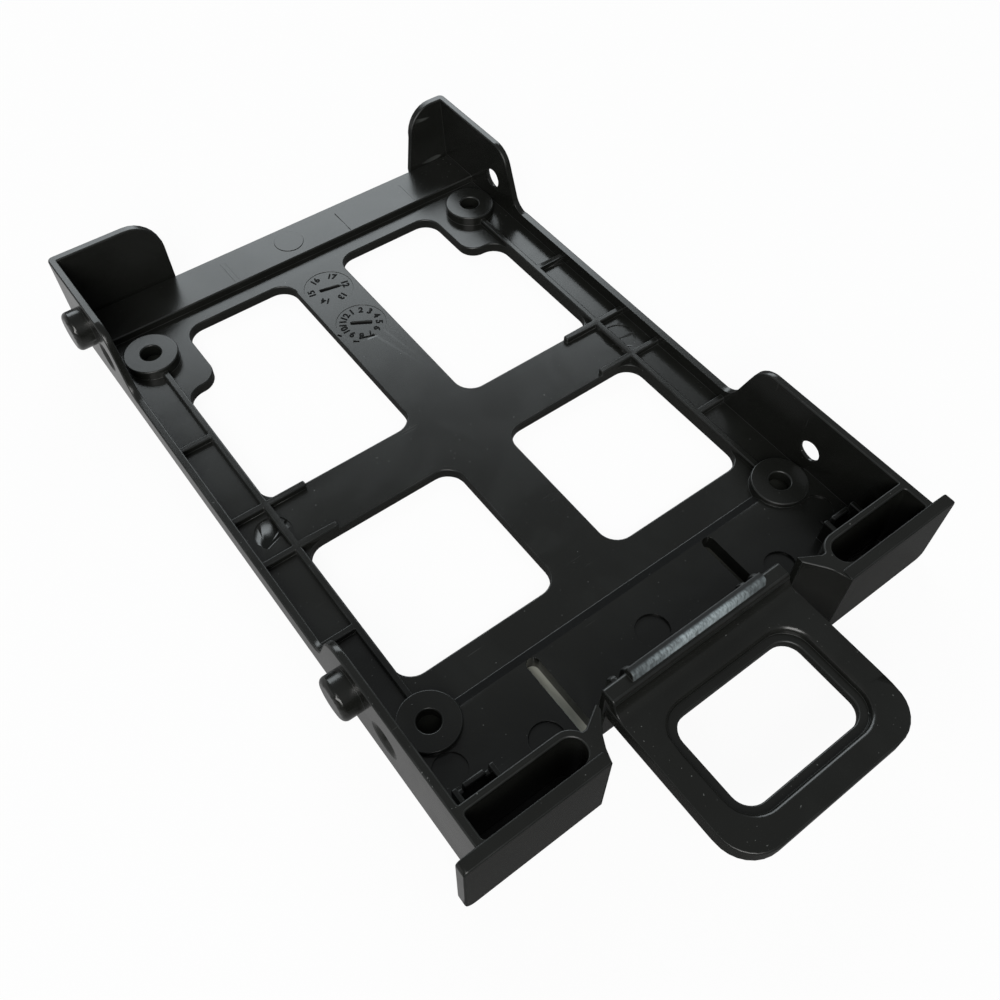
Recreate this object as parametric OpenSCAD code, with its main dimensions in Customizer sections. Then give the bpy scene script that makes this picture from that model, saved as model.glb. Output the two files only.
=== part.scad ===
// Moulded carrier for a small hard drive, with screw bosses, ears and a sprung pull handle.
// X runs across, +Y is the back and the handle is at -Y. Z is zero on top of the four screw
// bosses, where the drive rests, and the origin is the middle of the four screw holes.

/* [Drive] */
// Width of the drive
drive_w = 69.85; // [69:0.05:71]
// Length of the drive
drive_l = 100.0; // [99:0.1:101]
// Room between the drive and each side wall
side_gap = 1.025; // [0.5:0.025:1.6]
// Room between the drive and what stops it at each end
end_gap = 0.3; // [0.1:0.1:0.8]
// Screw hole spacing across the drive
hole_span_x = 61.72; // [60:0.01:63]
// Screw hole spacing along the drive
hole_span_y = 76.6; // [74:0.1:79]
// Distance from the drive's front end to its front holes
hole_front = 9.4; // [8:0.1:12]
// Clearance hole for the drive screw
screw_d = 3.2; // [2.8:0.1:3.6]
// Recess for the screw head, under each boss
head_d = 6.2; // [5.4:0.1:6.8]
// Depth of the screw head recess
head_depth = 1.3; // [0.8:0.1:1.8]
// Height of the side screw holes over the drive's underside
side_hole_z = 3.0; // [2.6:0.1:3.4]
// Side screw hole
side_hole_d = 3.4; // [3:0.1:4]
// Side screw hole at the outside, where it is countersunk
side_sink_d = 5.0; // [4.2:0.1:5.6]
// Depth of that countersink
side_sink_t = 0.7; // [0.3:0.1:0.8]

/* [Floor] */
// Thickness of the floor
floor_t = 1.8; // [1.4:0.1:2.4]
// Height of the screw bosses over the floor
boss_h = 1.6; // [1.2:0.1:2.2]
// Screw boss diameter
boss_d = 8.5; // [7.6:0.1:9]
// Height of the raised floor in front of the windows
apron_h = 0.8; // [0.4:0.1:1.1]
// Height of the ledge along the back
ledge_h = 1.2; // [0.6:0.1:1.5]
// Distance from the back bosses' rims to the ledge
ledge_gap = 2.0; // [1:0.1:4]
// Width of the floor bar between the left and right windows
bar_w = 9.7; // [6:0.1:14]
// Distance from the windows' outer edges to the side walls
channel_w = 5.75; // [5:0.05:7]
// Window corner radius
window_r = 3.0; // [1.5:0.1:4]
// Middle of the crossbar along Y
crossbar_y = -1.6; // [-6:0.1:4]
// Width of the crossbar
crossbar_w = 9.8; // [6:0.1:16]
// Distance of the back windows' back edge behind the back screw holes
window_back = 3.0; // [1:0.1:4]
// Distance of the front windows' front edge behind the front screw holes
window_front = 6.5; // [5:0.1:10]
// Width of the pad left in each back window round its boss
pad_w = 6.1; // [4:0.1:8]
// Length of that pad
pad_l = 12.2; // [9:0.1:16]

/* [Ribs] */
// Height of the long ribs over the floor
rib_h = 0.9; // [0.5:0.1:1.4]
// Rib thickness
rib_t = 1.0; // [0.7:0.1:1.4]
// Reach of the crossbar ribs inwards from the long ribs
rib_reach = 6.0; // [3:0.1:12]
// Distance from the crossbar's back edge to the back side rib
rib_back = 15.3; // [8:0.1:20]
// Distance from the crossbar's front edge to the front side rib
rib_front = 14.7; // [8:0.1:20]
// Length of the fine rib in front of the right front boss
fine_rib_l = 5.3; // [3:0.1:8]
// Thickness of that rib
fine_rib_t = 0.5; // [0.3:0.1:0.8]

/* [Walls] */
// Thickness of the side walls
wall_t = 1.15; // [0.9:0.05:1.6]
// Height of the low side walls over the boss tops
low_wall_z = 0.5; // [0.2:0.1:1.5]
// Height of the ears and flaps over the boss tops
ear_z = 10.2; // [8:0.1:12]
// Reach of the ears in front of the back screw holes, at half height
ear_reach = 4.7; // [4:0.1:9]
// Reach of the front flaps behind the front screw holes, at half height
flap_reach = 13.7; // [10:0.1:16]
// Slope of the ear and flap edges from upright, in degrees
edge_slope = 22; // [10:1:35]
// Radius at the foot of those edges
edge_r = 3.0; // [2:0.1:4]
// Radius at the top of those edges
edge_top_r = 4.0; // [2:0.1:5]

/* [Back] */
// Reach of the ears' back walls behind the floor at the top
ear_back = 2.8; // [1.8:0.1:4]
// Thickness of the ears' back walls
ear_back_t = 1.3; // [1:0.1:1.8]
// Width of the left ear's back wall
ear_left_w = 17.6; // [12:0.1:22]
// Width of the right ear's back wall
ear_right_w = 9.4; // [7:0.1:14]
// Taper of the right ear's back wall towards its top
ear_right_taper = 1.2; // [0:0.1:2]
// Radius of the back walls' inner top corners
ear_corner_r = 5.2; // [2:0.1:6]
// Rounding of the ears' outer corners
ear_round = 0.9; // [0.4:0.1:1.1]

/* [Front boxes] */
// Distance from the drive's front end to the boxes' rear walls
box_gap = 4.2; // [3.4:0.1:5]
// Depth of the hollow in each box
hollow_w = 3.8; // [3:0.1:4.6]
// Thickness of the boxes' rear and inner end walls
box_wall_t = 1.0; // [0.8:0.1:1.4]
// Thickness of the front plates
bezel_t = 1.7; // [1.4:0.1:2.4]
// Distance from the middle to the front plates' inner ends
bezel_in_x = 19.6; // [18:0.1:22]
// Reach of the front plates past the side walls
flange = 2.7; // [1.5:0.1:4]
// Radius of the flanges' lower corners
flange_r = 1.5; // [0.9:0.1:2.4]
// Thickness of the bottom of the hollows
hollow_floor_t = 1.4; // [1:0.1:2]
// Height of the boxes over the boss tops
box_z = 10.2; // [8:0.1:12]
// Length of the stop behind each box, across the drive
stop_l = 6.1; // [4:0.1:9]
// Distance from the stop's outer end to the side wall
stop_gap = 1.55; // [0.8:0.05:4]
// Height of the stop over the boss tops
stop_z = 3.1; // [1:0.1:6]
// Thickness of the stop's walls
stop_t = 0.8; // [0.6:0.1:1.2]
// Width of the notches between the stop's back wall and its ends
stop_notch = 0.7; // [0.4:0.1:1.2]

/* [Sprung tongue and handle] */
// Half width of the tongue
tongue_x = 14.6; // [12:0.1:16]
// Width of the slots beside the tongue
slot_w = 1.9; // [1.4:0.1:2.6]
// Length of the slots behind the tongue's front wall
slot_l = 11.9; // [9:0.1:14]
// Distance from the drive's front end to the tongue's front wall
tongue_gap = 2.9; // [2:0.1:3.6]
// Thickness of the tongue's front wall
tongue_wall_t = 1.7; // [1.4:0.1:2.4]
// Height of the wall's shoulders over the boss tops
shoulder_z = 9.4; // [8:0.1:10]
// Height of the catch over the boss tops
catch_z = 10.6; // [9.8:0.1:11.4]
// Half width of the catch
catch_x = 11.0; // [8:0.1:12]
// Middle of the two gussets behind the wall at each end of the catch
gusset_x = 10.8; // [8:0.05:12]
// Distance between those two gussets
gusset_pitch = 2.2; // [1.4:0.1:3]
// Thickness of the gussets
gusset_t = 1.0; // [0.6:0.1:1.2]
// Height of the gussets over the boss tops
gusset_z = 7.7; // [4:0.1:9]
// Depth of the gussets behind the wall
gusset_d = 1.4; // [0.8:0.1:2]
// Length of the handle in front of the tongue's wall
handle_l = 23.5; // [18:0.1:30]
// Half width of the handle
handle_x = 14.75; // [13:0.05:17]
// Top of the handle over the boss tops
handle_z = 7.1; // [5:0.1:8.4]
// Thickness of the handle
handle_t = 2.5; // [2:0.1:3.2]
// Width of the handle's side and front limbs
limb_w = 4.8; // [3.6:0.1:6.4]
// Distance from the tongue's front wall to the finger opening
grip_gap = 5.5; // [4.5:0.1:8]
// Outer corner radius of the handle
handle_r = 5.0; // [2.5:0.1:6]
// Corner radius of the finger opening
grip_r = 2.6; // [1.5:0.1:4]
// Width of the lip round the finger opening
lip_w = 1.2; // [0.6:0.1:1.8]
// Depth of the lip under the handle's top
lip_drop = 1.1; // [0.5:0.1:1.5]

/* [Side pegs] */
// Peg diameter
peg_d = 6.2; // [4.5:0.1:7]
// Length of the left pegs out from the side wall
peg_left_l = 2.8; // [1.5:0.1:4]
// Length of the right pegs out from the side wall
peg_right_l = 2.0; // [1.2:0.1:4]
// Height of the pegs' axis over the boss tops
peg_z = 5.0; // [4:0.1:6.4]
// Distance of the back pegs behind the back screw holes
peg_back = 5.8; // [5:0.1:9]
// Distance of the front pegs behind the front screw holes
peg_front = 7.1; // [5.6:0.1:9]
// Rounding of the pegs' rims
peg_r = 0.8; // [0.4:0.1:1.2]

/* [Hidden] */
$fn = 48;
eps = 0.02;
plastic = [0.12, 0.12, 0.125];
floor_z = -boss_h;
base_z = floor_z - floor_t;
apron_z = floor_z + apron_h;
inner_x = drive_w / 2 + side_gap;
wall_x = inner_x + wall_t;
boss_x = hole_span_x / 2;
boss_y = hole_span_y / 2;
drive_y = -boss_y - hole_front;
back_y = drive_y + drive_l + end_gap;
ear_back_y = back_y + ear_back;
ear_front_y = boss_y - ear_reach;
flap_back_y = flap_reach - boss_y;
window_x = inner_x - channel_w;
window_back_y = boss_y + window_back;
window_front_y = window_front - boss_y;
pad_front_y = window_back_y - pad_l;
box_back_y = drive_y - box_gap;
hollow_y1 = box_back_y - box_wall_t;
hollow_y0 = hollow_y1 - hollow_w;
bezel_y = hollow_y0 - bezel_t;
bezel_out_x = wall_x + flange;
tongue_wall_y = drive_y - tongue_gap;
tongue_front_y = tongue_wall_y - tongue_wall_t;
slot_back_y = tongue_wall_y + slot_l;
slot_x = tongue_x + slot_w / 2;
slot_out_x = tongue_x + slot_w;
handle_front_y = tongue_front_y - handle_l;
grip_back_y = tongue_front_y - grip_gap;
peg_ys = [peg_front - boss_y, boss_y + peg_back];

// Points of an arc, from angle a0 to angle a1
function arc(x, y, r, a0, a1, n = 8) =
    [for (i = [0:n]) let (a = a0 + (a1 - a0) * i / n) [x + r * cos(a), y + r * sin(a)]];

// Flat rectangle with four round corners
module round_rect(x0, x1, y0, y1, r) {
    polygon(concat(
        arc(x1 - r, y1 - r, r, 0, 90),
        arc(x0 + r, y1 - r, r, 90, 180),
        arc(x0 + r, y0 + r, r, 180, 270),
        arc(x1 - r, y0 + r, r, 270, 360)));
}

// Block given by its lowest and highest corners
module block(p, q) {
    translate(p)
        cube(q - p);
}

// Both sides of a shape drawn at +X
module both() {
    children();
    mirror([1, 0, 0])
        children();
}

// Outline drawn in Y and Z, made solid along X
module along_x(x0, x1) {
    translate([x0, 0, 0])
        rotate([90, 0, 90])
            linear_extrude(x1 - x0)
                children();
}

// Outline of a tall wall end: a sloped edge with a round top and a round foot.
// It is drawn for an edge that faces -Y, with the tall part behind it.
module tall_wall(edge_y, end_y) {
    a = edge_slope;
    mid_z = (low_wall_z + ear_z) / 2;
    t = tan(a);
    bend = tan((90 - a) / 2);
    top_y = edge_y + (ear_z - mid_z) * t + edge_top_r * bend;
    foot_y = edge_y - (mid_z - low_wall_z) * t - edge_r * bend;
    polygon(concat(
        [[end_y, ear_z]],
        arc(top_y, ear_z - edge_top_r, edge_top_r, 90, 180 - a),
        arc(foot_y, low_wall_z + edge_r, edge_r, -a, -90),
        [[foot_y, base_z + floor_t / 2], [end_y, base_z + floor_t / 2]]));
}

module side_wall() {
    block([inner_x, hollow_y0, base_z], [wall_x, back_y, low_wall_z]);
    along_x(inner_x, wall_x)
        tall_wall(ear_front_y, ear_back_y - ear_back_t);
    along_x(inner_x, wall_x)
        mirror([1, 0])
            tall_wall(-flap_back_y, -hollow_y0);
}

// Back wall of an ear, leaning outwards a little, with one round top corner
module ear_back(w, taper) {
    lean = ear_back_y - ear_back_t - back_y;
    intersection() {
        along_x(wall_x - w, wall_x)
            polygon([
                [back_y - ear_back_t, base_z],
                [back_y + 0.4, base_z],
                [ear_back_y, ear_z],
                [ear_back_y - ear_back_t, ear_z],
                [ear_back_y - ear_back_t - lean, floor_z]]);
        translate([0, ear_back_y + 1, 0])
            rotate([90, 0, 0])
                linear_extrude(ear_back_y - back_y + ear_back_t + 2)
                    polygon(concat(
                        [[wall_x, base_z], [wall_x, ear_z]],
                        arc(wall_x - w + taper + ear_corner_r, ear_z - ear_corner_r, ear_corner_r, 90, 180),
                        [[wall_x - w, floor_z + ledge_h], [wall_x - w, base_z]]));
    }
}

// Side wall's end in each ear, following the leaning back wall
module ear_corner() {
    along_x(inner_x, wall_x)
        polygon([
            [back_y - 6, base_z],
            [back_y + 0.4, base_z],
            [ear_back_y, ear_z],
            [ear_back_y - 6, ear_z]]);
}

// What rounds an ear's outer corner, set along its leaning edge
module ear_corner_cut() {
    r = ear_round;
    lean = atan((ear_back_y - back_y - 0.4) / (ear_z - base_z));
    translate([wall_x, ear_back_y, ear_z])
        rotate([-lean, 0, 0])
            translate([0, 0, base_z - ear_z - 3])
                linear_extrude(ear_z - base_z + 6)
                    polygon(concat(
                        arc(-r, -r, r, 0, 90),
                        [[-r, 1], [1, 1], [1, -r]]));
}

module window_pair() {
    x0 = bar_w / 2;
    y1 = crossbar_y + crossbar_w / 2;
    y0 = crossbar_y - crossbar_w / 2;
    r = window_r;
    pr = min(window_r, pad_w / 2 - 0.05);
    px = window_x - pad_w;
    // Back window, stepped in round the boss pad
    polygon(concat(
        arc(px - r, window_back_y - r, r, 90, 0),
        arc(px + pr, pad_front_y + pr, pr, 180, 270),
        arc(window_x - pr, pad_front_y - pr, pr, 90, 0),
        arc(window_x - r, y1 + r, r, 0, -90),
        arc(x0 + r, y1 + r, r, -90, -180),
        arc(x0 + r, window_back_y - r, r, 180, 90)));
    // Front window
    round_rect(x0, window_x, window_front_y, y0, r);
}

module floor_plate() {
    ledge_y = boss_y + boss_d / 2 + ledge_gap;
    difference() {
        block([-wall_x + eps, box_back_y - box_wall_t / 2, base_z], [wall_x - eps, back_y, floor_z]);
        translate([0, 0, base_z - 1])
            linear_extrude(floor_t + 2)
                both()
                    window_pair();
    }
    // Raised apron in front of the windows, with a sloped back edge
    along_x(-inner_x - eps, inner_x + eps)
        polygon([
            [box_back_y - box_wall_t / 2, base_z + 0.2],
            [slot_back_y, base_z + 0.2],
            [slot_back_y + apron_h * 1.75, floor_z],
            [slot_back_y, apron_z],
            [box_back_y - box_wall_t / 2, apron_z]]);
    // Ledge along the back
    along_x(-inner_x - eps, inner_x + eps)
        polygon([
            [ledge_y, base_z + 0.2],
            [ledge_y, floor_z],
            [ledge_y + 0.1, floor_z + ledge_h],
            [back_y - 0.3, floor_z + ledge_h],
            [back_y, floor_z + ledge_h - 0.3],
            [back_y, base_z + 0.2]]);
}

module ribs() {
    z1 = floor_z + rib_h;
    x0 = window_x;
    x1 = window_x + rib_t;
    y_long = window_back_y - 7;
    // Long rib along the outer edge of the windows
    block([x0, window_front_y - 4, base_z + 0.3], [x1, y_long, z1]);
    // Short ribs across the side channels
    for (y = [crossbar_y + crossbar_w / 2 + rib_back, crossbar_y - crossbar_w / 2 - rib_front])
        block([x1 - 0.1, y - rib_t / 2, base_z + 0.3], [inner_x + 0.1, y + rib_t / 2, z1]);
    // Ribs that run on over the crossbar
    for (y = [crossbar_y + crossbar_w / 2 - rib_t, crossbar_y - crossbar_w / 2])
        block([x0 - rib_reach, y, base_z + 0.3], [inner_x + 0.1, y + rib_t, z1]);
}

// Fine rib in front of the right front boss
module fine_rib() {
    y = -boss_y - boss_d / 2 + 0.2;
    block([boss_x - fine_rib_t / 2, y - fine_rib_l, base_z + 0.3], [boss_x + fine_rib_t / 2, y, apron_z + 0.25]);
}

// Front plate seen from the front, with its flange past the side wall
module front_plate() {
    r = flange_r;
    polygon(concat(
        arc(bezel_out_x - r, base_z + r, r, -90, 0),
        arc(bezel_out_x - r / 2, box_z + 0.1 - r / 2, r / 2, 0, 90),
        [[bezel_in_x, box_z + 0.1], [bezel_in_x, base_z]]));
}

module front_box() {
    r = hollow_w / 2;
    in_x = bezel_in_x;
    web = box_wall_t;
    hx = in_x + web + r;
    hy = hollow_y0 + r;
    difference() {
        union() {
            // Body of the box, with a bent web at its inner end that runs to the slot
            translate([0, 0, base_z])
                linear_extrude(box_z - base_z)
                    polygon(concat(
                        [[slot_out_x - 1, box_back_y + 0.7],
                            [in_x - 0.2, box_back_y - 1.6 * web]],
                        arc(hx, hy, r + web, 153, 90),
                        [[wall_x, box_back_y],
                            [wall_x, bezel_y + eps],
                            [in_x, bezel_y + eps],
                            [in_x - 0.5, bezel_y + bezel_t - 0.1],
                            [in_x - 1.3, box_back_y - 3.3 * web],
                            [slot_out_x, box_back_y - 0.9 * web],
                            [slot_out_x - 1, box_back_y - 0.9 * web]]));
            // Floor behind the web
            translate([0, 0, base_z])
                linear_extrude(apron_z - base_z)
                    polygon([
                        [slot_out_x - 1, box_back_y - 0.6 * web],
                        [in_x, box_back_y - 2 * web],
                        [hx, box_back_y - 0.2],
                        [hx, box_back_y + 0.5],
                        [slot_out_x - 1, box_back_y + 0.5]]);
            // Front plate
            translate([0, bezel_y + bezel_t, 0])
                rotate([90, 0, 0])
                    linear_extrude(bezel_t)
                        front_plate();
        }
        // Hollow
        translate([0, 0, base_z + hollow_floor_t])
            linear_extrude(box_z - base_z)
                polygon(concat(
                    arc(hx, hy, r, 90, 270, 12),
                    arc(inner_x - 0.5, hollow_y0 + 0.5, 0.5, -90, 0, 4),
                    arc(inner_x - 0.5, hollow_y1 - 0.5, 0.5, 0, 90, 4)));
    }
}

// Low hollow stop behind a box, which the drive's end meets
module drive_stop() {
    x1 = inner_x - stop_gap;
    x0 = x1 - stop_l;
    y1 = drive_y - end_gap;
    difference() {
        block([x0, box_back_y - 0.2, base_z + 0.3], [x1, y1, stop_z]);
        block([x0 + stop_t, box_back_y, apron_z], [x1 - stop_t, y1 - stop_t, stop_z + 1]);
        for (nx = [x0 + stop_t, x1 - stop_t - stop_notch])
            block([nx, y1 - stop_t - 1, stop_z - 1.4], [nx + stop_notch, y1 + 1, stop_z + 1]);
    }
}

module tongue() {
    x = tongue_x;
    z0 = handle_z - handle_t;
    // Front wall with the handle's root, seen from the side
    along_x(-x, x)
        polygon(concat(
            [[tongue_wall_y, base_z],
                [tongue_wall_y, shoulder_z - 0.3],
                [tongue_wall_y - 0.3, shoulder_z],
                [tongue_front_y - 0.4, shoulder_z]],
            arc(tongue_front_y - 0.8 - 1.8, handle_z + 1.8, 1.8, 0, -90),
            [[grip_back_y + lip_w + 1, handle_z],
                [grip_back_y + lip_w + 1, z0],
                [tongue_front_y + 0.2, z0],
                [tongue_front_y + 0.6, base_z]]));
    // Catch along the top of the wall
    along_x(-catch_x, catch_x)
        polygon([
            [tongue_wall_y, shoulder_z - 1],
            [tongue_wall_y, catch_z - 0.1],
            [tongue_front_y + 0.4, catch_z],
            [tongue_front_y + 0.1, shoulder_z],
            [tongue_front_y + 0.1, shoulder_z - 1]]);
    // Gussets behind the wall
    both()
        for (gx = [gusset_x - gusset_pitch / 2, gusset_x + gusset_pitch / 2])
            along_x(gx - gusset_t / 2, gx + gusset_t / 2)
                polygon([
                    [tongue_wall_y - 0.5, base_z + 0.3],
                    [tongue_wall_y + gusset_d, base_z + 0.3],
                    [tongue_wall_y + gusset_d, gusset_z - 0.9],
                    [tongue_wall_y + gusset_d - 0.5, gusset_z],
                    [tongue_wall_y - 0.5, gusset_z]]);
}

module handle() {
    z0 = handle_z - handle_t;
    gx = handle_x - limb_w;
    gy = handle_front_y + limb_w;
    r = handle_r;
    difference() {
        translate([0, 0, z0])
            linear_extrude(handle_t)
                polygon(concat(
                    arc(r - handle_x, handle_front_y + r, r, 180, 270),
                    arc(handle_x - r, handle_front_y + r, r, 270, 360),
                    [[handle_x, tongue_front_y + 0.2], [-handle_x, tongue_front_y + 0.2]]));
        translate([0, 0, z0 - 1])
            linear_extrude(handle_t + 2)
                round_rect(-gx, gx, gy, grip_back_y, grip_r);
        translate([0, 0, handle_z - lip_drop])
            linear_extrude(lip_drop + 1)
                round_rect(-gx - lip_w, gx + lip_w, gy - lip_w, grip_back_y + lip_w, grip_r + lip_w);
    }
}

module peg(y, l) {
    r = peg_d / 2;
    end = wall_t / 2 + l;
    translate([wall_x - wall_t / 2, y, peg_z])
        rotate([0, 90, 0])
            rotate_extrude()
                polygon(concat(
                    [[0, 0], [r, 0]],
                    arc(r - peg_r, end - peg_r, peg_r, 0, 90, 5),
                    [[0, end]]));
}

module bracket() {
    color(plastic)
        difference() {
            union() {
                difference() {
                    union() {
                        floor_plate();
                        both() {
                            side_wall();
                            ear_corner();
                            ribs();
                            front_box();
                            drive_stop();
                        }
                        fine_rib();
                        mirror([1, 0, 0])
                            ear_back(ear_left_w, 0);
                        ear_back(ear_right_w, ear_right_taper);
                    }
                    both()
                        ear_corner_cut();
                    // Slots that free the tongue
                    both()
                        translate([slot_x, 0, base_z - 1])
                            linear_extrude(ear_z - base_z + 3) {
                                translate([0, slot_back_y - slot_w / 2])
                                    circle(d = slot_w);
                                translate([-slot_w / 2, bezel_y - 1])
                                    square([slot_w, slot_back_y - slot_w / 2 - bezel_y + 1]);
                            }
                    // Room in front of the tongue's wall
                    block([-slot_x, bezel_y - 1, base_z - 1], [slot_x, tongue_wall_y - eps, ear_z + 2]);
                }
                tongue();
                handle();
                both()
                    for (y = [-boss_y, boss_y])
                        translate([boss_x, y, base_z])
                            cylinder(d = boss_d, h = -base_z);
                for (y = peg_ys) {
                    peg(y, peg_right_l);
                    mirror([1, 0, 0])
                        peg(y, peg_left_l);
                }
            }
            both() {
                for (y = [-boss_y, boss_y])
                    translate([boss_x, y, base_z - 1]) {
                        cylinder(d = screw_d, h = 2 - base_z);
                        cylinder(d = head_d, h = 1 + head_depth);
                    }
                for (y = [-boss_y, boss_y])
                    translate([inner_x - 1, y, side_hole_z])
                        rotate([0, 90, 0]) {
                            cylinder(d = side_hole_d, h = wall_t + 2);
                            translate([0, 0, 1 + wall_t - side_sink_t])
                                cylinder(d1 = side_hole_d, d2 = side_sink_d, h = side_sink_t + eps);
                        }
            }
        }
}

bracket();
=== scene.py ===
import math

import bmesh
import bpy
from mathutils import Matrix, Vector
from mathutils.bvhtree import BVHTree


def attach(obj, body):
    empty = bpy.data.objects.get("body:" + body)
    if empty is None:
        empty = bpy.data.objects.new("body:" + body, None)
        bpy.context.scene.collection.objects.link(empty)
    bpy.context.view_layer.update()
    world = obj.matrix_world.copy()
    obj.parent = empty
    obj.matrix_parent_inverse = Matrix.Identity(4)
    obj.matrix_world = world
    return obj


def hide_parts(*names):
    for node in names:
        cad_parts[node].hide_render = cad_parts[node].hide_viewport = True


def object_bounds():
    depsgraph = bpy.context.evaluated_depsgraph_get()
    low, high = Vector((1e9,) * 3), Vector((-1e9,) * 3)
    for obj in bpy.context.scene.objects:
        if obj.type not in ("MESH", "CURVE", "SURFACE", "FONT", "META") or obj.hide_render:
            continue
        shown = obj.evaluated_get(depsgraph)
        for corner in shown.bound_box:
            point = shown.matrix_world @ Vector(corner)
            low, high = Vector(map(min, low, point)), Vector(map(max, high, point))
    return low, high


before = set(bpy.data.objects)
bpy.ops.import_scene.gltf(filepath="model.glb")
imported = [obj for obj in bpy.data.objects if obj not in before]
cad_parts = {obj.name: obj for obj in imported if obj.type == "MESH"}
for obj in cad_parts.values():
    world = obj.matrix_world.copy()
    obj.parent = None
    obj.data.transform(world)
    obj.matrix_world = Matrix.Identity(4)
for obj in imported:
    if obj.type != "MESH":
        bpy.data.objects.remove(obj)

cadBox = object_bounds()  # the CAD part's own box, before anything is added
mm = 0.001
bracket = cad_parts["bracket"]
bpy.context.scene.view_settings.view_transform = "Standard"
print("frame loaded, box", [[round(v / mm, 2) for v in corner] for corner in cadBox])


# ---- camera: the photograph's own viewing angle

view = {
    "azimuth": -38.8,
    "elevation": 54.748,
    "roll": 1.834,
    "target": (-2.542, -17.933, 0.0),  # mm
    "distance": 145.356,  # mm
    "lens": 36.833,
    "shift": (-0.01157, 0.00037),
}


def placeCamera():
    azimuth, elevation, roll = (math.radians(view[k]) for k in ("azimuth", "elevation", "roll"))
    back = Vector((
        math.sin(azimuth) * math.cos(elevation),
        -math.cos(azimuth) * math.cos(elevation),
        math.sin(elevation)))
    right = Vector((0, 0, 1)).cross(back).normalized()
    up = back.cross(right)
    rolledRight = right * math.cos(roll) + up * math.sin(roll)
    rolledUp = up * math.cos(roll) - right * math.sin(roll)
    lens = bpy.data.cameras.new("camera")
    lens.lens = view["lens"]
    lens.sensor_width = 36
    lens.shift_x, lens.shift_y = view["shift"]
    lens.clip_start, lens.clip_end = 0.005, 20
    camera = bpy.data.objects.new("camera", lens)
    bpy.context.scene.collection.objects.link(camera)
    turn = Matrix((rolledRight, rolledUp, back)).transposed().to_4x4()
    place = (Vector(view["target"]) + back * view["distance"]) * mm
    camera.matrix_world = Matrix.Translation(place) @ turn
    bpy.context.scene.camera = camera


placeCamera()
print("camera placed")


# ---- small helpers

def pickOnly(*things):
    bpy.ops.object.select_all(action="DESELECT")
    for thing in things:
        thing.select_set(True)
    bpy.context.view_layer.objects.active = things[0]


def applyModifiers(thing):
    pickOnly(thing)
    for modifier in list(thing.modifiers):
        bpy.ops.object.modifier_apply(modifier=modifier.name)


def settle(thing):
    pickOnly(thing)
    bpy.ops.object.transform_apply(location=True, rotation=True, scale=True)


def joinAll(things, name):
    pickOnly(*things)
    if len(things) > 1:
        bpy.ops.object.join()
    joined = bpy.context.view_layer.objects.active
    joined.name = joined.data.name = name
    return joined


def addNode(tree, kind, **values):
    node = tree.nodes.new(kind)
    for key, value in values.items():
        if hasattr(node, key):
            setattr(node, key, value)
        else:
            node.inputs[key.replace("_", " ")].default_value = value
    return node


def blendNumbers(tree, source, low, high, toLow=0.0, toHigh=1.0):
    ramp = addNode(tree, "ShaderNodeMapRange", interpolation_type="SMOOTHSTEP")
    for socket, value in zip(("From Min", "From Max", "To Min", "To Max"), (low, high, toLow, toHigh)):
        ramp.inputs[socket].default_value = value
    tree.links.new(source, ramp.inputs["Value"])
    return ramp.outputs["Result"]


def combine(tree, operation, first, second):
    node = addNode(tree, "ShaderNodeMath", operation=operation)
    for socket, value in zip(node.inputs, (first, second)):
        if isinstance(value, (int, float)):
            socket.default_value = value
        else:
            tree.links.new(value, socket)
    return node.outputs[0]


def mixColours(tree, share, first, second):
    mix = addNode(tree, "ShaderNodeMix", data_type="RGBA")
    tree.links.new(share, mix.inputs[0])
    for socket, value in ((mix.inputs[6], first), (mix.inputs[7], second)):
        if isinstance(value, tuple):
            socket.default_value = (*value, 1)
        else:
            tree.links.new(value, socket)
    return mix.outputs[2]


# ---- floor, world and lamps

studio = {
    "floorDrop": 0.02,  # mm under the part
    "floorSize": 6.0,  # m
    "sweepHeight": 1.2,  # m, the backdrop round the floor
    "floorColour": (0.86, 0.86, 0.86),
    "whiteShare": 0.94,  # share of plain white in what is seen of the floor
    # painted shade and light for reflections: glossy rays see the floor dark, and paler beside the part's left
    # side
    "mirrored": 0.058,  # how pale reflections see the floor
    "mirroredLeft": (0.32, 0.52),  # the same at the part's left, near its front and its back
    "leftSide": (-0.0371, -0.0365),  # m along X, where the left side's floor ends
    "leftFront": (-0.0578, -0.0572),  # m along Y, where it begins
    "leftReach": (-0.02, 0.05),  # m along Y, from the near level to the far one
    "shadeColour": (0.030, 0.032, 0.028),  # the floor in the shade of slots and screw holes
    "slotColour": (0.70, 0.71, 0.62),  # and in the left slot, where more light comes in
    # patches in the part's own shade: middle x, y and half sizes in mm, share of slotColour
    "shades": [
        (-15.8, -44.6, 2.4, 6.8, 1.0), (15.8, -44.6, 2.4, 6.8, 0.08),
        (-30.86, -38.3, 3.6, 3.6, 0.0), (30.86, -38.3, 3.6, 3.6, 0.0),
        (-30.86, 38.3, 3.6, 3.6, 0.0), (30.86, 38.3, 3.6, 3.6, 0.0)],
    "worldColour": (0.95, 0.98, 1.0),
    "worldStrength": 0.20,
}

lamps = {
    # name: place in m, aims at in m, width, depth, watts, colour
    "windowBack": ((0.34, 0.72, 0.48), (0.0, 0.02, 0.0), 0.80, 0.44, 4.15, (0.90, 0.97, 1.0)),
    "fillFront": ((-0.62, -0.72, 0.80), (0.0, 0.0, 0.0), 0.80, 0.80, 13.0, (1.0, 0.99, 0.97)),
}


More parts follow.
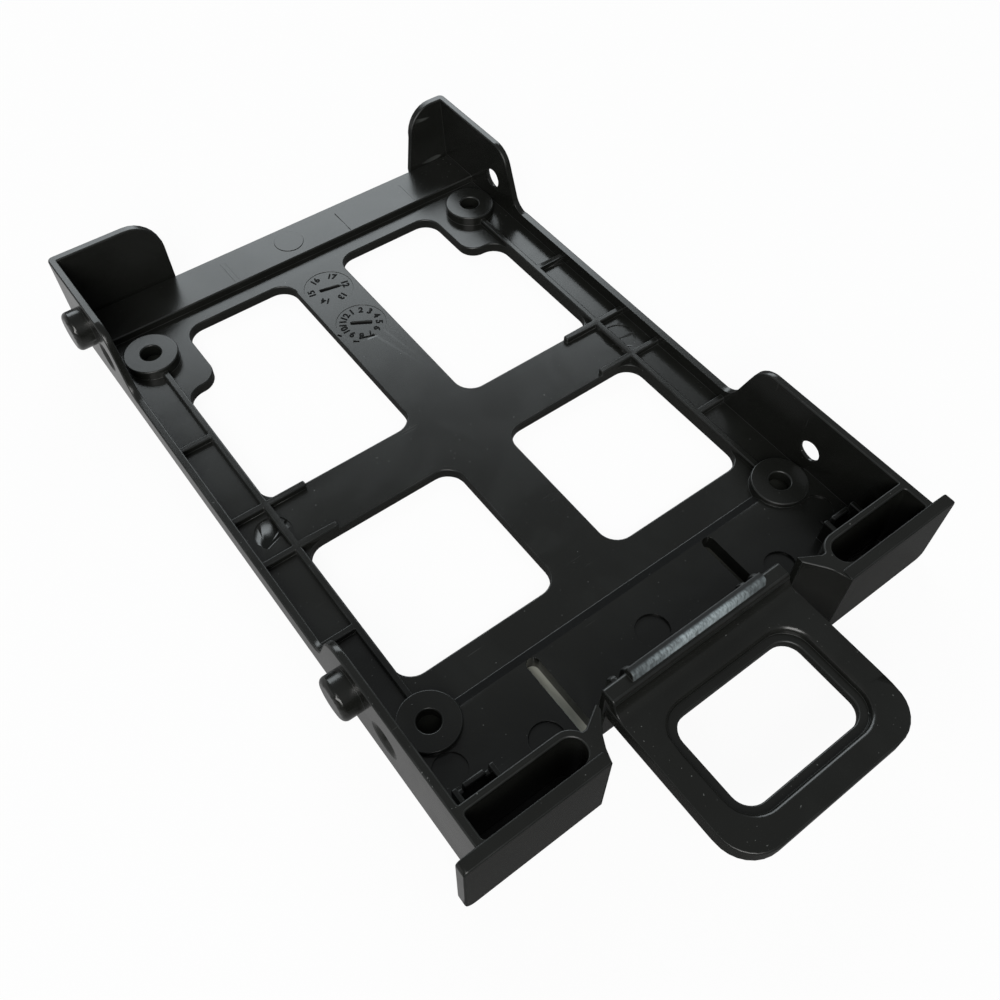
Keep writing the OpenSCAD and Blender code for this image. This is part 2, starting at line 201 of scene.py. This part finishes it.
def shadePatches(tree):
    where = addNode(tree, "ShaderNodeTexCoord")
    split = addNode(tree, "ShaderNodeSeparateXYZ")
    tree.links.new(where.outputs["Object"], split.inputs[0])
    total, lit = 0.0, 0.0
    for x, y, halfWidth, halfDepth, share in studio["shades"]:
        offX = combine(tree, "ABSOLUTE", combine(tree, "SUBTRACT", split.outputs["X"], x * mm), 0.0)
        offY = combine(tree, "ABSOLUTE", combine(tree, "SUBTRACT", split.outputs["Y"], y * mm), 0.0)
        inX = combine(tree, "LESS_THAN", offX, halfWidth * mm)
        inY = combine(tree, "LESS_THAN", offY, halfDepth * mm)
        patch = combine(tree, "MULTIPLY", inX, inY)
        total = combine(tree, "MAXIMUM", total, patch)
        lit = combine(tree, "MAXIMUM", lit, combine(tree, "MULTIPLY", patch, share))
    return total, lit


def buildFloor():
    bpy.ops.object.select_all(action="DESELECT")
    drop = cadBox[0].z - studio["floorDrop"] * mm
    bpy.ops.mesh.primitive_plane_add(size=studio["floorSize"], location=(0, 0, drop))
    floor = bpy.context.object
    floor.name = "floor"
    bpy.ops.object.mode_set(mode="EDIT")
    bpy.ops.mesh.select_mode(type="EDGE")
    bpy.ops.mesh.extrude_edges_move(TRANSFORM_OT_translate={"value": (0, 0, studio["sweepHeight"])})
    bpy.ops.object.mode_set(mode="OBJECT")
    settle(floor)
    sheet = bpy.data.materials.new("paleFloor")
    sheet.use_nodes = True
    tree = sheet.node_tree
    tree.nodes.clear()
    out = addNode(tree, "ShaderNodeOutputMaterial")
    mix = addNode(tree, "ShaderNodeMixShader")
    matte = addNode(tree, "ShaderNodeBsdfDiffuse")
    white = addNode(tree, "ShaderNodeEmission")
    rays = addNode(tree, "ShaderNodeLightPath")
    shade, lit = shadePatches(tree)
    shaded = mixColours(tree, lit, studio["shadeColour"], studio["slotColour"])
    tree.links.new(mixColours(tree, shade, studio["floorColour"], shaded), matte.inputs["Color"])
    openness = combine(tree, "SUBTRACT", 1.0, shade)
    seen = combine(tree, "MAXIMUM", rays.outputs["Is Camera Ray"], rays.outputs["Is Glossy Ray"])
    seen = combine(tree, "MAXIMUM", seen, rays.outputs["Is Transmission Ray"])
    share = combine(tree, "MULTIPLY", combine(tree, "MULTIPLY", seen, openness), studio["whiteShare"])
    where = addNode(tree, "ShaderNodeTexCoord")
    split = addNode(tree, "ShaderNodeSeparateXYZ")
    tree.links.new(where.outputs["Object"], split.inputs[0])
    # painted shade and light in reflections: what glossy rays see of the floor, dark in front of the part,
    # paler at its left
    beside = blendNumbers(tree, split.outputs["X"], *studio["leftSide"], 1.0, 0.0)
    behind = blendNumbers(tree, split.outputs["Y"], *studio["leftFront"])
    level = blendNumbers(tree, split.outputs["Y"], *studio["leftReach"], *studio["mirroredLeft"])
    left = combine(tree, "MULTIPLY", combine(tree, "MULTIPLY", beside, behind), level)
    pale = combine(tree, "MAXIMUM", left, studio["mirrored"])
    tree.links.new(
        combine(tree, "MAXIMUM", pale, combine(tree, "SUBTRACT", 1.0, rays.outputs["Is Glossy Ray"])),
        white.inputs["Strength"])
    tree.links.new(share, mix.inputs[0])
    tree.links.new(matte.outputs[0], mix.inputs[1])
    tree.links.new(white.outputs[0], mix.inputs[2])
    tree.links.new(mix.outputs[0], out.inputs[0])
    floor.data.materials.append(sheet)


def buildWorld():
    world = bpy.data.worlds.new("studio")
    bpy.context.scene.world = world
    world.use_nodes = True
    tree = world.node_tree
    tree.nodes.clear()
    out = addNode(tree, "ShaderNodeOutputWorld")
    dim = addNode(
        tree, "ShaderNodeBackground",
        Color=(*studio["worldColour"], 1), Strength=studio["worldStrength"])
    tree.links.new(dim.outputs[0], out.inputs[0])


def hangLamps():
    for name, (place, aim, width, depth, watts, colour) in lamps.items():
        lamp = bpy.data.lights.new(name, "AREA")
        lamp.shape = "RECTANGLE"
        lamp.size, lamp.size_y = width, depth
        lamp.energy = watts
        lamp.color = colour
        holder = bpy.data.objects.new(name, lamp)
        bpy.context.scene.collection.objects.link(holder)
        holder.location = place
        holder.rotation_euler = (Vector(aim) - Vector(place)).to_track_quat("-Z", "Y").to_euler()


buildFloor()
buildWorld()
hangLamps()
print("floor, world and lamps ready")


# ---- black plastic: grain, flow marks, dust and scratches are shared groups

def newGroup(name, inputs, output):
    group = bpy.data.node_groups.new(name, "ShaderNodeTree")
    for label, value in inputs.items():
        socket = group.interface.new_socket(label, in_out="INPUT", socket_type="NodeSocketFloat")
        socket.default_value = value
    group.interface.new_socket(output, in_out="OUTPUT", socket_type="NodeSocketFloat")
    entry = group.nodes.new("NodeGroupInput")
    leave = group.nodes.new("NodeGroupOutput")
    where = group.nodes.new("ShaderNodeTexCoord")
    return group, entry.outputs, leave.inputs[0], where.outputs["Object"]


def noise(tree, vector, scale, detail=2.0, distortion=0.0):
    cloud = addNode(tree, "ShaderNodeTexNoise", Detail=detail, Distortion=distortion)
    tree.links.new(vector, cloud.inputs["Vector"])
    if isinstance(scale, (int, float)):
        cloud.inputs["Scale"].default_value = scale
    else:
        tree.links.new(scale, cloud.inputs["Scale"])
    return cloud.outputs["Fac"]


flow = {"fineness": 60.0, "from": 0.35, "to": 0.68}
dustFall = {
    "patches": 95.0, "patchFrom": 0.40, "patchTo": 0.70,
    "level": 0.80,  # noise over which a speck shows
    "patchGain": 0.06,  # how far that level falls inside a patch
    "softness": 0.03,
}
scratchLays = [  # turn in degrees, fineness along and across
    (24.0, 70.0, 4200.0), (-51.0, 90.0, 3600.0), (78.0, 60.0, 3900.0),
]
scratchLines = {"patches": 140.0, "patchFrom": 0.58, "patchTo": 0.70, "from": 0.755, "to": 0.80}


def buildGrain():
    group, given, out, where = newGroup("mouldGrain", {"Scale": 5200.0}, "Height")
    group.links.new(noise(group, where, given["Scale"], 3.0), out)
    return group


def buildFlow():
    group, given, out, where = newGroup("flowMarks", {"Scale": flow["fineness"]}, "Mask")
    cloud = noise(group, where, given["Scale"], 3.0, 1.5)
    group.links.new(blendNumbers(group, cloud, flow["from"], flow["to"]), out)
    return group


def buildDust():
    group, given, out, where = newGroup("dustSpecks", {"Scale": 2600.0, "Amount": 0.5}, "Mask")
    specks = noise(group, where, given["Scale"], 1.0)
    cloud = noise(group, where, dustFall["patches"], 2.0)
    patches = blendNumbers(group, cloud, dustFall["patchFrom"], dustFall["patchTo"])
    gain = combine(group, "MULTIPLY", patches, dustFall["patchGain"])
    over = combine(group, "SUBTRACT", specks, combine(group, "SUBTRACT", dustFall["level"], gain))
    shown = blendNumbers(group, over, 0.0, dustFall["softness"])
    group.links.new(combine(group, "MULTIPLY", shown, given["Amount"]), out)
    return group


def buildScratches():
    group, given, out, where = newGroup("fineScratches", {"Amount": 0.5}, "Mask")
    total = None
    for turn, along, across in scratchLays:
        lay = addNode(group, "ShaderNodeMapping")
        lay.inputs["Rotation"].default_value = (0, 0, math.radians(turn))
        lay.inputs["Scale"].default_value = (along, across, along)
        group.links.new(where, lay.inputs["Vector"])
        line = noise(group, lay.outputs[0], 1.0, 1.0, 0.15)
        cloud = noise(group, where, scratchLines["patches"] + turn, 1.0)
        patch = blendNumbers(group, cloud, scratchLines["patchFrom"], scratchLines["patchTo"])
        line = blendNumbers(group, line, scratchLines["from"], scratchLines["to"])
        line = combine(group, "MULTIPLY", line, patch)
        total = line if total is None else combine(group, "MAXIMUM", total, line)
    group.links.new(combine(group, "MULTIPLY", total, given["Amount"]), out)
    return group


effects = {
    "grain": buildGrain(),
    "flow": buildFlow(),
    "dust": buildDust(),
    "scratches": buildScratches(),
}

plastics = {
    # colours and roughness between flow marks, grain depth in mm, amounts of dust and scratches
    "blackPlastic": {
        "darker": (0.0081, 0.0085, 0.0073), "paler": (0.0101, 0.0107, 0.0094),
        "smooth": 0.215, "dull": 0.245, "grainDepth": 0.004, "dust": 0.28, "scratches": 0.5},
    # paler plastic on the eased edges: partly edge wear, partly a painted highlight along each edge
    "edgeWearAndHighlight": {
        "darker": (0.009, 0.010, 0.009), "paler": (0.016, 0.017, 0.016),
        "smooth": 0.30, "dull": 0.40, "grainDepth": 0.004, "dust": 0.3, "scratches": 0.0},
    "mattPlastic": {
        "darker": (0.0060, 0.0062, 0.0060), "paler": (0.0075, 0.0078, 0.0075), "level": 0.08,
        "smooth": 0.60, "dull": 0.70, "grainDepth": 0.002, "dust": 0.2, "scratches": 0.0},
    # the catch's front: rub wear and a painted highlight streak along its rounded edge
    "rubbedSheenPlastic": {
        "darker": (0.0080, 0.0088, 0.0088), "paler": (0.0110, 0.0120, 0.0120), "rubAndSheen": 1.0,
        "smooth": 0.34, "dull": 0.42, "grainDepth": 0.010, "dust": 0.3, "scratches": 0.8},
}
rubAndSheen = {
    "band": (-51.15, -51.65),  # mm along Y, where the catch goes from clean to rubbed and painted sheen
    "middle": (2.0, 11.5),  # mm from the middle along X, where the rubbing and painted sheen fade
    "least": 0.35,  # share that is left at the catch's ends
    "streaks": (4200.0, 1700.0, 1200.0),  # fineness of the streaks along X, Y and Z
    "cover": (0.22, 0.74, 0.25, 1.0),  # noise from and to, share from and to
    "rougher": 0.25,
    # paler colour: partly rub wear, partly a painted highlight
    "colour": (0.36, 0.42, 0.44),
}
dustColour = (0.34, 0.35, 0.34)
dustRougher = 0.4
scratchColour = (0.10, 0.105, 0.10)


def placeEffect(tree, effect, **values):
    node = addNode(tree, "ShaderNodeGroup", node_tree=effects[effect])
    for label, value in values.items():
        node.inputs[label].default_value = value
    return node.outputs[0]


# mask of the catch's front streak, rub wear and painted sheen together
def rubbedMask(tree):
    where = addNode(tree, "ShaderNodeTexCoord")
    split = addNode(tree, "ShaderNodeSeparateXYZ")
    tree.links.new(where.outputs["Object"], split.inputs[0])
    start, end = rubAndSheen["band"]
    band = blendNumbers(tree, combine(tree, "MULTIPLY", split.outputs["Y"], -1.0), -start * mm, -end * mm)
    near, far = rubAndSheen["middle"]
    aside = combine(tree, "ABSOLUTE", split.outputs["X"], 0.0)
    middle = blendNumbers(tree, aside, near * mm, far * mm, 1.0, rubAndSheen["least"])
    lay = addNode(tree, "ShaderNodeMapping")
    lay.inputs["Scale"].default_value = rubAndSheen["streaks"]
    tree.links.new(where.outputs["Object"], lay.inputs["Vector"])
    scuffAndSheen = blendNumbers(tree, noise(tree, lay.outputs[0], 1.0, 3.0), *rubAndSheen["cover"])
    return combine(tree, "MULTIPLY", combine(tree, "MULTIPLY", band, middle), scuffAndSheen)


def buildPlastic(name):
    look = plastics[name]
    material = bpy.data.materials.new(name)
    material.use_nodes = True
    tree = material.node_tree
    shader = tree.nodes["Principled BSDF"]
    marks = placeEffect(tree, "flow")
    colour = mixColours(tree, marks, look["darker"], look["paler"])
    rough = blendNumbers(tree, marks, 0.0, 1.0, look["smooth"], look["dull"])
    if look["scratches"]:
        scratch = placeEffect(tree, "scratches", Amount=look["scratches"])
        colour = mixColours(tree, scratch, colour, scratchColour)
    # paler streak on the catch: rub wear with a painted highlight
    if "rubAndSheen" in look:
        wornAndSheen = rubbedMask(tree)
        colour = mixColours(tree, wornAndSheen, colour, rubAndSheen["colour"])
        rough = combine(tree, "ADD", rough, combine(tree, "MULTIPLY", wornAndSheen, rubAndSheen["rougher"]))
    shader.inputs["Specular IOR Level"].default_value = look.get("level", 0.5)
    facing = addNode(tree, "ShaderNodeNewGeometry")
    split = addNode(tree, "ShaderNodeSeparateXYZ")
    tree.links.new(facing.outputs["Normal"], split.inputs[0])
    upward = blendNumbers(tree, split.outputs["Z"], 0.3, 0.9)
    dust = combine(tree, "MULTIPLY", placeEffect(tree, "dust", Amount=look["dust"]), upward)
    colour = mixColours(tree, dust, colour, dustColour)
    tree.links.new(colour, shader.inputs["Base Color"])
    rough = combine(tree, "ADD", rough, combine(tree, "MULTIPLY", dust, dustRougher))
    tree.links.new(rough, shader.inputs["Roughness"])
    bump = addNode(tree, "ShaderNodeBump", Strength=0.5, Distance=look["grainDepth"] * mm)
    tree.links.new(placeEffect(tree, "grain"), bump.inputs["Height"])
    tree.links.new(bump.outputs[0], shader.inputs["Normal"])
    return material


materials = {name: buildPlastic(name) for name in plastics}
print("plastics ready:", ", ".join(materials))


# ---- moulding marks cut into the shell: ejector pin circles and witness lines

pinMarks = {
    "sides": 72,
    "lift": 0.3,  # mm that a cutter reaches past the face
    "places": [  # x, y, height of the face, radius, depth; mm. A depth under 0 stands proud
        (32.0, -1.6, -1.6, 2.75, 0.14), (-32.0, -1.6, -1.6, 2.75, 0.14), (-0.1, 48.7, -0.4, 2.5, -0.10),
        (0.1, -45.2, -0.8, 2.45, 0.40), (-20.4, -48.7, -0.8, 2.35, 0.34), (20.9, -48.3, -0.8, 2.35, 0.40),
        (-32.2, -44.7, -0.8, 2.3, 0.30), (32.2, -44.7, -0.8, 2.3, 0.30),
        (-0.1, 35.9, -1.6, 4.1, 0.07), (0.0, 25.95, -1.6, 4.1, 0.07)],
}

witnessLines = [  # start x, y, end x, y, height of the face, width, depth; mm
    (-12.4, 45.0, -12.4, 50.3, -0.4, 0.14, 0.03), (-11.6, 45.0, -11.6, 50.3, -0.4, 0.12, 0.02),
    (10.1, 45.0, 10.1, 50.3, -0.4, 0.14, 0.05), (23.6, 45.0, 23.6, 50.3, -0.4, 0.12, 0.02),
    (-1.52, 36.23, 1.62, 35.50, -1.6, 0.46, 0.55), (-1.42, 26.80, 1.48, 25.06, -1.6, 0.46, 0.55),
    (-4.60, 25.80, -4.22, 25.12, -1.6, 0.36, 0.35), (-3.30, 23.05, -2.50, 22.55, -1.6, 0.36, 0.35),
    (-2.15, 23.12, 0.22, 22.32, -1.6, 0.34, 0.35), (12.53, -68.60, 15.29, -68.86, 7.1, 0.14, 0.04),
]


def cutMarks(piece):
    discs, grooves, proud = [], [], []
    lift = pinMarks["lift"] * mm
    for x, y, z, radius, depth in pinMarks["places"]:
        low, high = (-depth * mm, lift) if depth > 0 else (-lift, -depth * mm)
        bpy.ops.object.select_all(action="DESELECT")
        bpy.ops.mesh.primitive_cylinder_add(
            vertices=pinMarks["sides"], radius=radius * mm, depth=high - low,
            location=(x * mm, y * mm, z * mm + (low + high) / 2))
        (proud if depth < 0 else discs).append(bpy.context.object)
    for x0, y0, x1, y1, z, width, depth in witnessLines:
        run = Vector((x1 - x0, y1 - y0, 0))
        bpy.ops.object.select_all(action="DESELECT")
        bpy.ops.mesh.primitive_cube_add(
            size=1, location=((x0 + x1) / 2 * mm, (y0 + y1) / 2 * mm, z * mm + (lift - depth * mm) / 2),
            rotation=(0, 0, math.atan2(run.y, run.x)),
            scale=(run.length * mm, width * mm, depth * mm + lift))
        grooves.append(bpy.context.object)
    for group, operation in ((discs, "DIFFERENCE"), (grooves, "DIFFERENCE"), (proud, "UNION")):
        for cutter in group:
            settle(cutter)
        cutter = joinAll(group, "markCutter")
        cut = piece.modifiers.new("marks", "BOOLEAN")
        cut.operation, cut.solver, cut.object = operation, "EXACT", cutter
        applyModifiers(piece)
        bpy.data.objects.remove(cutter)
        print("marks:", operation.lower(), len(group), "faces now", len(piece.data.polygons))


# ---- the shell: the bracket as it is seen, with each edge eased as moulded edges are

shell = {
    "mergeGap": 0.002,  # mm between loose corners that become one
    "flatAngle": 1.0,  # degrees
    "sharpAngle": 28.0,  # degrees, from here an edge is eased
    "outerRound": 0.22,  # mm, widest easing of an outer edge
    "innerRound": 0.05,  # mm, widest easing of an inner corner
    "roomShare": 0.42,  # share of a narrow face that one easing may take
    "steps": 2,
    "least": 0.02,  # mm, an easing under this is left off
    "samePlane": 0.002,  # mm between the planes of two edges of one flat
    "clashReach": 0.7,  # mm round a clash in which easings shrink
    "shrink": 0.45,
    "tries": 10,
}


shellPlastics = ("blackPlastic", "edgeWearAndHighlight", "rubbedSheenPlastic", "mattPlastic")
faceLooks = [
    # lowest and highest corner of the faces' middles in mm, least facing along Y and Z, plastic
    ((-10.95, -52.4, 9.7), (10.95, -50.5, 11.0), -2.0, "rubbedSheenPlastic"),  # the catch's front, rubbed, with a painted sheen
    ((-4.75, 22.0, -2.3), (4.75, 37.0, -1.72), -2.0, "mattPlastic"),  # the dials' grooves
    ((-40.0, -38.7, -1.55), (40.0, -37.3, -0.85), 0.3, "mattPlastic"),  # the slope behind the front
]


def mergeFlats(piece):
    pickOnly(piece)
    bpy.ops.object.mode_set(mode="EDIT")
    bpy.ops.mesh.select_all(action="SELECT")
    bpy.ops.mesh.remove_doubles(threshold=shell["mergeGap"] * mm)
    bpy.ops.mesh.dissolve_limited(angle_limit=math.radians(shell["flatAngle"]))
    bpy.ops.object.mode_set(mode="OBJECT")


def copyBracket():
    piece = bracket.copy()
    piece.data = bracket.data.copy()
    piece.name = piece.data.name = "bracketShell"
    for key in list(piece.keys()):
        del piece[key]
    piece.parent = None
    bpy.context.scene.collection.objects.link(piece)
    mergeFlats(piece)
    piece.data.materials.clear()
    for plastic in shellPlastics:
        piece.data.materials.append(materials[plastic])
    return piece


broadRounds = [  # lowest and highest corner of the edges' box, width; mm
    ((-11.1, -52.1, 10.4), (11.1, -51.8, 10.7), 0.40),  # the catch's front edge
    ((-11.3, -73.0, 7.0), (11.3, -56.4, 7.2), 0.75),  # the top edge round the finger opening
]


def roundBroadly(piece):
    for low, high, width in broadRounds:
        pickOnly(piece)
        bpy.ops.object.mode_set(mode="EDIT")
        bpy.ops.mesh.select_mode(type="EDGE")
        bpy.ops.mesh.select_all(action="DESELECT")
        bpy.ops.object.mode_set(mode="OBJECT")
        work = bmesh.new()
        work.from_mesh(piece.data)
        limit = math.radians(shell["sharpAngle"])
        picked = set()
        for edge in work.edges:
            if edge.is_manifold and edge.is_convex and edge.calc_face_angle(0) > limit:
                if all(low[i] <= v.co[i] / mm <= high[i] for v in edge.verts for i in range(3)):
                    picked.add(edge.index)
        work.free()
        for index in picked:
            piece.data.edges[index].select = True
        bpy.ops.object.mode_set(mode="EDIT")
        bpy.ops.mesh.bevel(
            offset=width * mm, segments=5, profile=0.5, affect="EDGES", clamp_overlap=False)
        bpy.ops.object.mode_set(mode="OBJECT")
        print("rounded broadly:", len(picked), "edges by", width, "mm")


def inwardOf(edge, face):
    loop = next(l for l in face.loops if l.edge == edge)
    along = (loop.link_loop_next.vert.co - loop.vert.co).normalized()
    return face.normal.cross(along)


def roomBeside(work, limit):
    sharp = [e for e in work.edges if e.is_manifold and e.calc_face_angle(0) > limit]
    planes = {}
    for edge in sharp:
        for face in edge.link_faces:
            key = tuple(round(v, 2) for v in face.normal)
            planes.setdefault(key, []).append((
                edge, face.normal, edge.verts[0].co, edge.verts[1].co,
                inwardOf(edge, face), face.normal.dot(edge.verts[0].co)))
    room = {edge: 1.0 for edge in sharp}
    for lines in planes.values():
        for edge, normal, start, end, inward, level in lines:
            for other, _, start2, end2, inward2, level2 in lines:
                if other is edge or abs(level - level2) > shell["samePlane"] * mm or inward.dot(inward2) > -0.3:
                    continue
                run = end2 - start2
                length = run.length
                if length < 1e-9:
                    continue
                run /= length
                spread = inward.cross(run).dot(normal)
                if abs(spread) < 1e-6:
                    continue
                for share in (0.1, 0.5, 0.9):
                    gap = start2 - start.lerp(end, share)
                    far = gap.cross(run).dot(normal) / spread
                    place = gap.cross(inward).dot(normal) / spread
                    slack = 0.05 * length + 2e-5
                    if far > 1e-7 and -slack <= place <= length + slack:
                        room[edge] = min(room[edge], far)
    return room


def clashes(thing):
    work = bmesh.new()
    work.from_mesh(thing.data)
    bmesh.ops.triangulate(work, faces=work.faces[:])
    work.faces.ensure_lookup_table()
    tree = BVHTree.FromBMesh(work, epsilon=0.0)
    spots = []
    for one, two in tree.overlap(tree):
        if one < two:
            first, second = work.faces[one], work.faces[two]
            if not set(first.verts) & set(second.verts):
                spots.append((first.calc_center_median() + second.calc_center_median()) / 2)
    work.free()
    return spots


def widestEasings(piece):
    work = bmesh.new()
    work.from_mesh(piece.data)
    work.normal_update()
    work.edges.ensure_lookup_table()
    widths = {}
    for edge, room in roomBeside(work, math.radians(shell["sharpAngle"])).items():
        widest = shell["outerRound"] if edge.is_convex else shell["innerRound"]
        widths[edge.index] = min(widest * mm, room * shell["roomShare"])
    ends = {i: [v.co.copy() for v in work.edges[i].verts] for i in widths}
    work.free()
    return widths, ends


def easedCopy(piece, widths):
    eased = piece.copy()
    eased.data = piece.data.copy()
    bpy.context.scene.collection.objects.link(eased)
    unit = shell["outerRound"] * mm
    weights = [0.0] * len(eased.data.edges)
    for index, width in widths.items():
        weights[index] = width / unit
    store = eased.data.attributes.new("bevel_weight_edge", "FLOAT", "EDGE")
    store.data.foreach_set("value", weights)
    for index, width in widths.items():
        eased.data.edges[index].use_edge_sharp = width < shell["least"] * mm
    pickOnly(eased)
    bevel = eased.modifiers.new("ease", "BEVEL")
    bevel.width, bevel.segments, bevel.limit_method = unit, shell["steps"], "WEIGHT"
    bevel.use_clamp_overlap = False
    bevel.miter_outer = "MITER_ARC"
    # the eased strips take the paler edge plastic, a painted highlight along each edge with some wear
    bevel.material = shellPlastics.index("edgeWearAndHighlight")
    bevel.face_strength_mode = "FSTR_AFFECTED"
    applyModifiers(eased)
    return eased


def shrinkNear(spots, ends, widths):
    reach = shell["clashReach"] * mm
    for index, (start, end) in ends.items():
        run = end - start
        for spot in spots:
            share = (spot - start).dot(run) / max(run.length_squared, 1e-16)
            if (start + run * max(0.0, min(1.0, share)) - spot).length < reach:
                widths[index] *= shell["shrink"]
                if widths[index] < shell["least"] * mm:
                    widths[index] = 0.0
                break


def dressFaces(piece):
    for face in piece.data.polygons:
        face.use_smooth = True
        for low, high, facing, plastic in faceLooks:
            inside = all(low[i] < face.center[i] / mm < high[i] for i in range(3))
            if inside and min(face.normal.y, face.normal.z) > facing:
                face.material_index = shellPlastics.index(plastic)


def easeEdges(piece):
    widths, ends = widestEasings(piece)
    for attempt in range(shell["tries"]):
        eased = easedCopy(piece, widths)
        spots = clashes(eased)
        print("edges eased, try", attempt + 1, "clashes", len(spots))
        if not spots or attempt == shell["tries"] - 1:
            break
        bpy.data.objects.remove(eased)
        shrinkNear(spots, ends, widths)
    bpy.data.objects.remove(piece)
    dressFaces(eased)
    even = eased.modifiers.new("even", "WEIGHTED_NORMAL")
    even.keep_sharp = True
    even.use_face_influence = True
    applyModifiers(eased)
    eased.name = eased.data.name = "bracketShell"
    return eased


bracketShell = copyBracket()
cutMarks(bracketShell)
roundBroadly(bracketShell)
bracketShell = easeEdges(bracketShell)
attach(bracketShell, "root")
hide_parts("bracket")
print("shell ready, faces", len(bracketShell.data.polygons))


# ---- plain numbers of the two date dials, on the middle bar

dials = {
    "height": -1.67,  # mm, the middle of the figures' thickness, on the sunk faces
    "figureRadius": 2.9, "figureSize": 1.6, "figureRise": 0.06, "bold": 0.045,
    "plates": [  # centre x, y, first figure's angle, step, figures
        (-0.1, 35.9, -11.0, -60.0, ("12", "13", "14", "15", "16", "17")),
        (0.0, 25.95, 89.0, -30.0, tuple(str(n) for n in range(1, 13)))],
}


def makeDial(name, plate):
    x, y, firstAngle, step, figures = plate
    middle = Vector((x, y, dials["height"])) * mm
    parts = []
    for count, figure in enumerate(figures):
        angle = math.radians(firstAngle + step * count)
        out = Vector((math.cos(angle), math.sin(angle), 0)) * dials["figureRadius"] * mm
        bpy.ops.object.select_all(action="DESELECT")
        bpy.ops.object.text_add(location=middle + out, rotation=(0, 0, angle - math.pi / 2))
        word = bpy.context.object
        word.data.body = figure
        word.data.size = dials["figureSize"] * mm
        word.data.extrude = dials["figureRise"] * mm
        word.data.offset = dials["bold"] * mm
        word.data.align_x, word.data.align_y = "CENTER", "CENTER"
        word.data.resolution_u = 4
        bpy.ops.object.convert(target="MESH")
        word = bpy.context.object
        bpy.ops.object.mode_set(mode="EDIT")
        bpy.ops.mesh.select_all(action="SELECT")
        bpy.ops.mesh.remove_doubles(threshold=0.001 * mm)
        bpy.ops.mesh.normals_make_consistent(inside=False)
        bpy.ops.object.mode_set(mode="OBJECT")
        settle(word)
        parts.append(word)
    dial = joinAll(parts, name)
    settle(dial)
    dial.data.materials.clear()
    dial.data.materials.append(materials["mattPlastic"])
    pickOnly(dial)
    bpy.ops.object.shade_smooth_by_angle(angle=math.radians(35))
    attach(dial, "root")
    return dial


for number, plate in enumerate(dials["plates"]):
    makeDial(("yearDial", "monthDial")[number], plate)
print("date dials ready")
